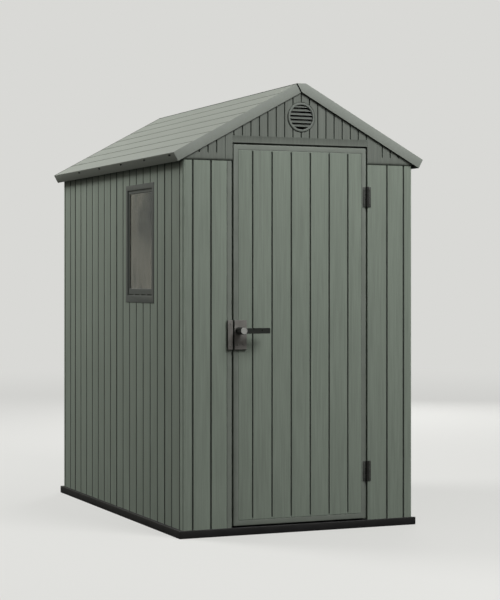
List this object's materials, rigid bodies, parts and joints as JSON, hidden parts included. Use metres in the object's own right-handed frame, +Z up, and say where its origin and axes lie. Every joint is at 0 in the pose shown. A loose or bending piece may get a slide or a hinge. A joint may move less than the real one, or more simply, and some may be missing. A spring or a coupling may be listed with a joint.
{
  "type": "plastic garden shed",
  "caption": "Small walk-in garden shed of moulded plastic panels with a pitched roof, a single hinged door with a lever handle, a side window and gable vents.",
  "frame": {"origin": "centre of the floor's underside, at ground level", "axes": "+Z up; -Y is the front with the door, so +Y runs to the rear wall; +X is to the right as seen from the front, on the door's hinge side, and the window is in the wall at -X"},
  "size_m": [1.256, 1.909, 2.0512],
  "materials": {
    "floor_black": "moulded, near black",
    "wall_green": "moulded with a fine wood grain, grey green",
    "door_green": "moulded with a fine wood grain, grey green",
    "gable_green": "moulded with a fine wood grain, grey green",
    "roof_plastic": "moulded with a fine wood grain, light grey green",
    "trim_grey": "smooth, mid grey",
    "window_grey": "smooth, dark grey",
    "vent_grey": "smooth, mid grey",
    "pane_clear": "clear acrylic sheet",
    "beam_steel": "zinc-coated steel",
    "hinge_black": "black coating",
    "pin_steel": "black coating",
    "lock_grey": "dark warm grey coating",
    "lever_black": "black, slightly glossy",
    "cap_grey": "light grey"
  },
  "bodies": {
    "shell": {"floor_front_panel": "floor_black", "floor_rear_panel": "floor_black", "front_left_corner": "wall_green", "front_right_corner": "wall_green", "left_front_side_panel": "wall_green", "left_rear_side_panel": "wall_green", "right_front_side_panel": "wall_green", "right_rear_side_panel": "wall_green", "rear_left_corner": "wall_green", "rear_right_corner": "wall_green", "rear_wall_panel": "wall_green", "strike_post": "trim_grey", "left_door_stop": "trim_grey", "right_door_stop": "trim_grey", "head_stop": "trim_grey", "front_gable": "gable_green", "rear_gable": "gable_green", "front_vent": "vent_grey", "rear_vent": "vent_grey", "left_roof_panel": "roof_plastic", "right_roof_panel": "roof_plastic", "ridge_beam": "beam_steel", "window_frame": "window_grey", "window_pane": "pane_clear", "window_trim": "window_grey", "keep_plate": "lock_grey", "upper_frame_leaf": "hinge_black", "lower_frame_leaf": "hinge_black", "upper_hinge_pin": "pin_steel", "lower_hinge_pin": "pin_steel"},
    "door": {"door_panel": "door_green", "door_edge_frame": "trim_grey", "upper_door_leaf": "hinge_black", "lower_door_leaf": "hinge_black", "lock_case": "lock_grey"},
    "lever": {"door_lever": "lever_black", "lever_cap": "cap_grey"}
  },
  "joints": [
    {"name": "door_hinge", "type": "hinge", "parent": "shell", "child": "door", "pos_m": [0.338, -0.915, 1], "axis": [0, 0, 1], "range_deg": [0, 110]},
    {"name": "lever_turn", "type": "hinge", "parent": "door", "child": "lever", "pos_m": [-0.314, -0.921, 0.924], "axis": [0, 1, 0], "range_deg": [0, 45], "stiffness_Nm_per_rad": 1.5, "springref_deg": -28.65}
  ]
}
